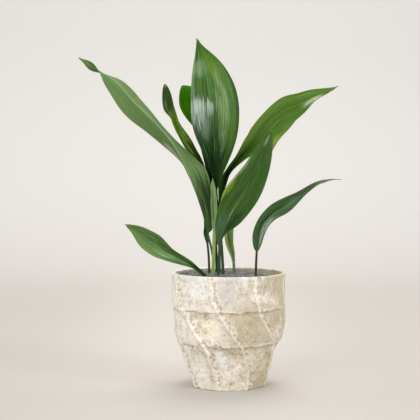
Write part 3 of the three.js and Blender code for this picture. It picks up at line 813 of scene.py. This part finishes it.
finish = leaf_finish(
    "underside_out_leaf", deep=(0.08, 0.165, 0.05), fresh=(0.13, 0.245, 0.07),
    underside=(0.165, 0.27, 0.10), stalk=(0.07, 0.125, 0.08), margin=(0.46, 0.55, 0.36),
    seed=1, lines=0.7, gloss=0.4, glow=0.2, midline=0.7, streak=0.6,
    patches=[
        # Painted shade: the first two patches darken the lower blade, most where it passes the young leaf.
        (0.0, 0.03, 1.6, 0.22, (0.030, 0.080, 0.022), 0.8),
        (-0.8, 0.13, 0.9, 0.19, (0.008, 0.030, 0.008), 0.97),
        (0.65, 0.4, 0.35, 0.08, (0.50, 0.56, 0.48), 0.7),
        (-0.85, 0.68, 0.3, 0.025, (0.36, 0.44, 0.12), 0.7),
        (-1.0, 0.665, 0.2, 0.012, (0.03, 0.05, 0.012), 1.0),
        (-0.65, 0.62, 0.6, 0.4, (0.085, 0.16, 0.052), 0.6),
    ],
)
place_leaf("leaf_far_left", blade, finish)


# The twisted leaf
# A narrow leaf behind the far left one: its lower part is folded almost shut with light
# shining through one half, painted there in yellow-green, and the tip opens and shows its dark
# upper side, darkened further by painted shade.
blade = leaf_mesh(
    "leaf_twisted",
    midrib=[
        (-0.033, 0.020, 0.172), (-0.035, 0.020, 0.228), (-0.038, 0.021, 0.258), (-0.041, 0.025, 0.288),
        (-0.041, 0.031, 0.326), (-0.045, 0.035, 0.361), (-0.057, 0.039, 0.393), (-0.074, 0.045, 0.417),
        (-0.087, 0.049, 0.443), (-0.096, 0.052, 0.472), (-0.105, 0.053, 0.497), (-0.114, 0.053, 0.534),
    ],
    blade=0.2, half=0.020, fullest=0.6, taper=(0.5, 0.6), stalk=0.0022,
    turn=[
        (0, 10), (0.4, -16), (0.55, -22), (0.65, -18), (0.75, 0), (0.8, 2), (0.86, 17), (0.92, 20),
        (1, 6),
    ],
    fold=[
        (0, 10), (0.05, 20), (0.1, 72), (0.3, 68), (0.5, 69), (0.6, 61), (0.75, 72), (0.8, 68),
        (0.86, 42), (0.92, 22), (1, 15),
    ],
)
finish = leaf_finish(
    "shaded_leaf", deep=(0.014, 0.042, 0.008), fresh=(0.04, 0.095, 0.018),
    underside=(0.15, 0.26, 0.04), stalk=(0.06, 0.085, 0.04), margin=(0.34, 0.42, 0.08),
    seed=2, lines=0.4, gloss=0.3, glow=0.35, streak=0.6,
    patches=[
        # The two yellow-green patches are painted light shining through the folded half; the pale spot near
        # the tip below is a painted highlight.
        (0.1, 0.74, 1.7, 0.16, (0.36, 0.54, 0.10), 1.0), (-0.4, 0.60, 1.2, 0.20, (0.30, 0.50, 0.09), 1.0),
        (0.0, 0.93, 1.4, 0.12, (0.06, 0.13, 0.03), 0.8), (-0.7, 0.87, 0.4, 0.05, (0.26, 0.32, 0.24), 0.5),
        (0.0, 1.0, 1.5, 0.03, (0.30, 0.36, 0.06), 0.9),
    ],
)
place_leaf("leaf_twisted", blade, finish)


# The back leaf
# It stands behind the tall leaf and arches over to the back, so light comes through
# the part below the crest.
blade = leaf_mesh(
    "leaf_back",
    midrib=[
        (-0.020, 0.040, 0.172), (-0.022, 0.041, 0.253), (-0.027, 0.042, 0.316), (-0.037, 0.046, 0.397),
        (-0.049, 0.050, 0.438), (-0.059, 0.054, 0.467), (-0.067, 0.060, 0.498), (-0.070, 0.068, 0.521),
        (-0.070, 0.082, 0.531), (-0.069, 0.102, 0.526), (-0.067, 0.120, 0.512),
    ],
    faces=(0, -0.6, 0.8), blade=0.34, half=0.0235, fullest=0.58, taper=(0.7, 1.1), stalk=0.0023,
    turn=[(0, -10), (0.45, -36), (0.52, -33), (0.6, -12), (0.66, 2), (0.72, 5), (0.8, -6), (1, -12)],
    fold=[(0, 45), (0.4, 22), (0.64, 18), (0.74, 4), (1, 6)],
)
finish = leaf_finish(
    # The saturated green is painted light shining through the blade.
    "sunlit_leaf", deep=(0.032, 0.140, 0.001), fresh=(0.060, 0.225, 0.001),
    underside=(0.06, 0.2, 0.005), stalk=(0.05, 0.09, 0.03), margin=(0.22, 0.38, 0.01),
    seed=3, lines=0.45, gloss=0.55, glow=0.5, shine=0.02, streak=0.4,
    patches=[
        # Painted shade darkens the lower blade, between the leaves in front of it.
        (0.0, 0.1, 4.0, 0.62, (0.001, 0.010, 0.001), 1.0),
    ],
)
place_leaf("leaf_back", blade, finish)


# The tall leaf
# The largest and darkest blade stands upright in the middle and faces the viewer,
# with glossy, streaky halves. Most of the gloss is painted highlight on the left half, a paler
# green on the right half is painted light, and the darkened base is painted shade.
blade = leaf_mesh(
    "leaf_tall",
    midrib=[
        (-0.008, 0, 0.172), (-0.012, 0.004, 0.243), (-0.018, 0.008, 0.300), (-0.022, 0.010, 0.348),
        (-0.024, 0.008, 0.393), (-0.025, 0.004, 0.460), (-0.029, 0.006, 0.516), (-0.040, 0.014, 0.569),
        (-0.056, 0.024, 0.612),
    ],
    blade=0.38, half=0.047, fullest=0.51, taper=(1.05, 1.05), stalk=0.0027,
    turn=[(0, -24), (0.2, -21), (0.4, -9), (0.75, -4), (0.93, 20), (1, 26)],
    fold=[(0, 45), (0.2, 35), (0.4, 26), (0.8, 25), (0.94, 38), (1, 38)],
)
finish = leaf_finish(
    "tall_leaf", deep=(0.030, 0.095, 0.016), fresh=(0.10, 0.22, 0.045),
    underside=(0.12, 0.22, 0.07), stalk=(0.05, 0.085, 0.045), margin=(0.20, 0.32, 0.09),
    seed=4, lines=0.85, gloss=0.26, glow=0.2, midline=0.3, shine=0.08,
    patches=[
        # Painted shade darkens the base of the blade
        (-0.4, 0.10, 2.2, 0.48, (0.003, 0.020, 0.002), 1.0),
        (0.5, 0.02, 1.0, 0.36, (0.006, 0.035, 0.004), 0.95),
        (-0.9, 0.42, 0.5, 0.34, (0.012, 0.045, 0.012), 0.9),
        (0.1, 0.45, 0.3, 0.3, (0.02, 0.06, 0.015), 0.5), (0.35, 0.84, 0.5, 0.24, (0.14, 0.30, 0.02), 0.9),
        (0.75, 0.45, 0.3, 0.25, (0.10, 0.20, 0.03), 0.6),
        # Painted light: a paler green on the right half
        (0.40, 0.54, 0.32, 0.3, (0.24, 0.355, 0.16), 0.9),
        (0.98, 0.56, 0.16, 0.3, (0.03, 0.08, 0.012), 0.9),
        # Painted highlights: pale streaky gloss on the left half, in the next five patches
        (-0.66, 0.505, 0.46, 0.12, (0.44, 0.53, 0.50), 0.9),
        (-0.2, 0.53, 0.26, 0.06, (0.38, 0.47, 0.44), 0.9),
        (-0.5, 0.545, 0.7, 0.05, (0.44, 0.52, 0.50), 0.6),
        (-0.45, 0.42, 0.3, 0.12, (0.26, 0.35, 0.29), 0.5),
        (-0.55, 0.80, 0.7, 0.08, (0.25, 0.35, 0.19), 0.8),
        (-0.95, 0.70, 0.2, 0.25, (0.25, 0.34, 0.22), 0.6),
    ],
)
place_leaf("leaf_tall", blade, finish, ribs=(16.0, 0.00014))


# The upper right leaf
# It rises from the middle of the compost and bends over to the right with its upper side up,
# so its near half hangs towards the viewer.
blade = leaf_mesh(
    "leaf_upper_right",
    midrib=[
        (-0.015, 0.018, 0.172), (-0.016, 0.020, 0.246), (-0.017, 0.026, 0.304), (-0.012, 0.032, 0.343),
        (0.001, 0.038, 0.376), (0.019, 0.042, 0.400), (0.045, 0.044, 0.429), (0.068, 0.046, 0.459),
        (0.100, 0.050, 0.487), (0.130, 0.054, 0.498), (0.155, 0.058, 0.510), (0.199, 0.062, 0.530),
    ],
    blade=0.32, half=0.036, fullest=0.56, taper=(0.9, 1.25), stalk=0.0023,
    turn=[
        (0, 25), (0.08, 20), (0.15, 9), (0.25, 0), (0.37, -4), (0.47, -20), (0.6, -18), (0.72, -3),
        (0.85, 18), (1, 10),
    ],
    fold=[
        (0, 20), (0.08, 24), (0.15, 62), (0.2, 71), (0.3, 69), (0.4, 53), (0.46, 40), (0.65, 39),
        (0.82, 50), (1, 25),
    ],
)
finish = leaf_finish(
    "upper_right_leaf", deep=(0.070, 0.168, 0.022), fresh=(0.14, 0.265, 0.038),
    underside=(0.17, 0.29, 0.07), stalk=(0.04, 0.075, 0.02), margin=(0.30, 0.42, 0.14),
    seed=5, lines=0.7, gloss=0.36, glow=0.3, midline=0.2, streak=0.45,
    patches=[
        (0.0, 0.08, 2.2, 0.32, (0.012, 0.055, 0.001), 1.0),
        (0.55, 0.42, 0.7, 0.24, (0.062, 0.145, 0.014), 0.95),
        (0.0, 0.965, 1.6, 0.05, (0.15, 0.22, 0.07), 0.8),
        # Painted highlights near the tip and along the midrib there
        (0.42, 0.825, 0.55, 0.085, (0.70, 0.79, 0.74), 1.0),
        (0.0, 0.84, 0.10, 0.12, (0.66, 0.72, 0.60), 0.9),
        (-0.6, 0.62, 0.45, 0.35, (0.19, 0.32, 0.09), 0.8),
        (0.95, 0.48, 0.35, 0.09, (0.24, 0.37, 0.02), 0.9),
    ],
)
place_leaf("leaf_upper_right", blade, finish)


# The front leaf
# It rises from the front of the compost, leans to the right before the others and faces
# the viewer, with a thin pale midrib.
blade = leaf_mesh(
    "leaf_front",
    midrib=[
        (-0.019, -0.030, 0.172), (-0.016, -0.036, 0.246), (-0.011, -0.040, 0.266), (0.003, -0.050, 0.304),
        (0.027, -0.060, 0.345), (0.050, -0.068, 0.392), (0.064, -0.072, 0.424), (0.072, -0.072, 0.447),
    ],
    blade=0.25, half=0.0285, fullest=0.46, taper=(0.8, 0.8), stalk=0.0022,
    turn=[(0, 45), (0.14, 38), (0.25, 8), (0.45, -4), (0.7, -14), (0.9, 0), (1, 0)],
    fold=[(0, 45), (0.15, 38), (0.3, 22), (0.8, 15), (1, 15)],
)
finish = leaf_finish(
    "front_leaf", deep=(0.038, 0.095, 0.020), fresh=(0.066, 0.145, 0.028),
    underside=(0.12, 0.2, 0.06), stalk=(0.05, 0.095, 0.06), margin=(0.20, 0.30, 0.12),
    seed=6, lines=0.55, gloss=0.34, glow=0.25, midline=0.0, streak=0.5,
    patches=[
        (-1.0, 0.48, 0.28, 0.10, (0.15, 0.29, 0.004), 1.0),
        # Painted highlight: a glossy streak low on the left half
        (-0.4, 0.12, 0.8, 0.18, (0.12, 0.20, 0.13), 0.75),
        (0.6, 0.5, 0.6, 0.34, (0.034, 0.095, 0.010), 0.9),
        (0.6, 0.22, 0.5, 0.16, (0.012, 0.045, 0.006), 0.9),
        (0.0, 0.28, 0.045, 0.26, (0.30, 0.40, 0.22), 0.8),
        # Painted highlight near the tip
        (-0.3, 0.92, 0.34, 0.07, (0.34, 0.43, 0.33), 0.6),
        (-0.95, 0.68, 0.2, 0.10, (0.36, 0.42, 0.34), 0.6),
    ],
)
place_leaf("leaf_front", blade, finish)


# The low right leaf
# A narrow dark leaf on a thin purple-brown stalk, which stands by itself at the right of
# the compost and bows over to the right.
blade = leaf_mesh(
    "leaf_low_right",
    midrib=[
        (0.047, -0.020, 0.172), (0.048, -0.022, 0.219), (0.050, -0.026, 0.253), (0.053, -0.029, 0.272),
        (0.061, -0.033, 0.291), (0.075, -0.037, 0.306), (0.097, -0.042, 0.320), (0.117, -0.046, 0.334),
        (0.136, -0.050, 0.347), (0.154, -0.054, 0.357), (0.172, -0.058, 0.363), (0.192, -0.060, 0.364),
    ],
    blade=0.24, half=0.019, fullest=0.42, taper=(0.65, 1.8), stalk=0.0023,
    turn=[(0, 8), (0.3, 2), (0.5, -2), (0.7, 9), (0.85, 20), (1, 0)],
    fold=[(0, 35), (0.1, 40), (0.3, 53), (0.5, 43), (0.7, 61), (1, 40)],
)
finish = leaf_finish(
    "low_right_leaf", deep=(0.040, 0.110, 0.034), fresh=(0.085, 0.175, 0.055),
    underside=(0.14, 0.21, 0.1), stalk=(0.065, 0.062, 0.055), margin=(0.3, 0.37, 0.25),
    seed=7, lines=0.4, gloss=0.3, glow=0.2, midline=0.1, streak=0.8,
    patches=[
        (0.6, 0.2, 0.5, 0.22, (0.46, 0.54, 0.48), 0.95),
        (-0.1, 0.66, 0.9, 0.16, (0.13, 0.205, 0.11), 0.6),
        (0.28, 0.55, 0.05, 0.30, (0.42, 0.50, 0.40), 0.8),
        (0.05, 0.60, 0.05, 0.25, (0.38, 0.46, 0.36), 0.8),
        (-0.25, 0.64, 0.05, 0.2, (0.34, 0.42, 0.32), 0.9),
        (0.5, 0.58, 0.05, 0.2, (0.30, 0.40, 0.28), 0.9), (0.0, 0.90, 2.0, 0.17, (0.27, 0.26, 0.215), 1.0),
        (-1.0, 0.72, 0.25, 0.3, (0.14, 0.12, 0.10), 0.9),
    ],
)
place_leaf("leaf_low_right", blade, finish)


# The low left leaf
# A short leaf low on the left, whose wide dark stalk rises from the front of the compost
# and leans out over the rim.
blade = leaf_mesh(
    "leaf_low_left",
    midrib=[
        (-0.028, -0.033, 0.172), (-0.033, -0.034, 0.187), (-0.057, -0.039, 0.210),
        (-0.079, -0.046, 0.224), (-0.106, -0.056, 0.240), (-0.135, -0.066, 0.259),
        (-0.156, -0.074, 0.277), (-0.176, -0.080, 0.288),
    ],
    blade=0.07, half=0.0205, fullest=0.66, taper=(0.85, 1), stalk=0.0028,
    turn=[(0, -10), (0.3, -5), (0.5, 7), (0.6, 8), (0.7, 0), (1, 2)],
    fold=[(0, 50), (0.3, 52), (0.5, 46), (0.65, 31), (1, 28)],
)
finish = leaf_finish(
    "low_left_leaf", deep=(0.075, 0.17, 0.045), fresh=(0.17, 0.30, 0.10),
    underside=(0.14, 0.25, 0.08), stalk=(0.010, 0.04, 0.006), margin=(0.24, 0.36, 0.14),
    seed=8, lines=0.5, gloss=0.34, glow=0.25, midline=0.3, streak=1.35,
    patches=[
        (0.65, 0.50, 0.6, 0.34, (0.055, 0.125, 0.018), 0.85),
        (-0.7, 0.70, 0.5, 0.3, (0.20, 0.33, 0.09), 0.6),
        (0.0, 0.0, 3.0, 0.36, (0.008, 0.035, 0.004), 1.0),
        (-0.35, 0.48, 0.4, 0.20, (0.29, 0.43, 0.20), 0.8),
        (0.15, 0.58, 0.05, 0.2, (0.28, 0.41, 0.19), 0.7),
        (-0.05, 0.60, 0.05, 0.2, (0.30, 0.44, 0.20), 0.7),
        (-0.55, 0.40, 0.06, 0.22, (0.45, 0.54, 0.36), 0.9),
        (-0.25, 0.42, 0.05, 0.22, (0.42, 0.52, 0.34), 0.9),
    ],
)
place_leaf("leaf_low_left", blade, finish)


# The young leaf
# A new leaf, which comes up through the compost still rolled into a narrow pale spear
# on a bright green stalk.
blade = leaf_mesh(
    "leaf_young",
    midrib=[
        (-0.028, -0.020, 0.172), (-0.026, -0.020, 0.236), (-0.025, -0.021, 0.285),
        (-0.026, -0.022, 0.318), (-0.028, -0.022, 0.365),
    ],
    blade=0.54, half=0.008, fullest=0.46, taper=(1, 0.8), stalk=0.0032,
    turn=[(0, 0), (1, -10)],
    fold=[(0, 45), (1, 45)],
)
finish = leaf_finish(
    "young_leaf", deep=(0.24, 0.38, 0.15), fresh=(0.36, 0.52, 0.24),
    underside=(0.26, 0.40, 0.16), stalk=(0.30, 0.41, 0.14), margin=(0.38, 0.5, 0.24),
    seed=9, lines=0.35, gloss=0.4, glow=0.25,
)
place_leaf("leaf_young", blade, finish, ribs=(6.0, 0.0001), wave=(1.0, 0.0, 0.0))


# The leaf behind the front one
# It leans to the right behind the front leaf on a stalk from the back of the compost,
# and light shines through its blade; its yellow-green, strongest at the left edge, is painted light.
blade = leaf_mesh(
    "leaf_behind_front",
    midrib=[
        (0.011, 0.023, 0.172), (0.009, 0.028, 0.222), (0.002, 0.035, 0.250), (-0.001, 0.046, 0.282),
        (0.001, 0.057, 0.309), (0.009, 0.066, 0.334), (0.024, 0.072, 0.357), (0.042, 0.079, 0.381),
        (0.063, 0.085, 0.404), (0.083, 0.091, 0.428), (0.111, 0.097, 0.456),
    ],
    blade=0.13, half=0.025, fullest=0.38, taper=(0.9, 1.1), stalk=0.0028,
    turn=[(0, 4), (0.2, -4), (0.35, -6), (0.5, -10), (1, 0)],
    fold=[(0, 60), (0.12, 64), (0.22, 62), (0.36, 38), (0.5, 36), (1, 20)],
)
finish = leaf_finish(
    "behind_front_leaf", deep=(0.30, 0.43, 0.21), fresh=(0.38, 0.51, 0.27),
    underside=(0.30, 0.42, 0.16), stalk=(0.14, 0.22, 0.10), margin=(0.26, 0.38, 0.06),
    seed=10, lines=0.35, gloss=0.4, glow=0.2, streak=0.5,
    patches=[
        # Painted light shining through the blade at its left edge
        (-0.9, 0.35, 0.5, 0.5, (0.36, 0.46, 0.07), 0.9),
    ],
)
place_leaf("leaf_behind_front", blade, finish)


# Studio
# A pale paper sweep that is floor and backdrop in one. A large soft light at the front left
# is the main one; soft ones stand at the right, overhead and behind, and the sky is white.
FLOOR_WIDTH = 8.0
FLOOR_FRONT = -3.0
SWEEP_START = 1.6
SWEEP_RADIUS = 1.6
WALL_TOP = 4.0
NEAR_PAPER = ((0.495, 0.466, 0.434), (0.505, 0.476, 0.444))
FAR_PAPER = (0.69, 0.675, 0.657)
SKY = (1.0, 0.985, 0.965, 1)


def sweep_mesh():
    """Floor and wall in one sheet, with a round sweep between them."""
    turns = np.radians(np.linspace(0, 90, 25))
    line = [(FLOOR_FRONT, 0.0)]
    line += [(SWEEP_START + SWEEP_RADIUS * math.sin(t), SWEEP_RADIUS * (1 - math.cos(t))) for t in turns]
    line += [(SWEEP_START + SWEEP_RADIUS, WALL_TOP)]
    points = [(x, y, z) for y, z in line for x in (-FLOOR_WIDTH / 2, FLOOR_WIDTH / 2)]
    faces = [(2 * i, 2 * i + 1, 2 * i + 3, 2 * i + 2) for i in range(len(line) - 1)]
    mesh = bpy.data.meshes.new("sweep")
    mesh.from_pydata(points, [], faces)
    mesh.polygons.foreach_set("use_smooth", [True] * len(mesh.polygons))
    return mesh


def soft_light(name, place, aim, width, power, colour):
    """A square of soft light at place that points at aim."""
    data = bpy.data.lights.new(name, "AREA")
    data.size = width
    data.energy = power
    data.color = colour
    light = bpy.data.objects.new(name, data)
    light.location = place
    light.rotation_euler = (Vector(aim) - Vector(place)).to_track_quat("-Z", "Y").to_euler()
    bpy.context.collection.objects.link(light)


paper, tree, shader = start_finish("backdrop_paper")
place = add(tree, "ShaderNodeTexCoord").outputs["Object"]
aside, distance = add(tree, "ShaderNodeSeparateXYZ", {0: place}).outputs[:2]
# Painted light and shade on the paper: darker on the floor near the front, paler up the sweep and wall, and
# brightest in the middle of the floor, falling off to the sides.
near = blend(tree, noise(tree, place, 3.0, 2, 0.5), *NEAR_PAPER)
off_middle = maths(tree, "ABSOLUTE", maths(tree, "ADD", aside, 0.05))
near = blend(tree, 1.0, near, ramp(tree, off_middle, 0.05, 0.40, 1.045, 0.92), "MULTIPLY")
tree.links.new(blend(tree, ramp(tree, distance, 0.8, 2.9), near, FAR_PAPER), shader.inputs["Base Color"])
shader.inputs["Roughness"].default_value = 0.95
shader.inputs["Specular IOR Level"].default_value = 0.1
sweep = bpy.data.objects.new("backdrop", sweep_mesh())
sweep.data.materials.append(paper)
bpy.context.collection.objects.link(sweep)

soft_light("overhead", (0.14, 0.62, 1.75), (0, 0, 0), 1.0, 18, (1.0, 0.985, 0.96))
soft_light("key", (-1.25, -2.2, 1.3), (0, 0, 0.25), 1.9, 30, (1.0, 0.98, 0.95))
soft_light("right", (1.45, -1.15, 0.75), (0, 0, 0.45), 0.5, 12, (0.97, 0.99, 1.0))
soft_light("backdrop", (0.0, 1.2, 2.0), (0, 3.0, 0.8), 2.0, 11, (1.0, 0.985, 0.96))

world = bpy.data.worlds.new("studio")
world.use_nodes = True
sky = world.node_tree.nodes["Background"]
sky.inputs["Color"].default_value = SKY
sky.inputs["Strength"].default_value = 0.93
bpy.context.scene.world = world
bpy.context.scene.view_settings.view_transform = "Standard"
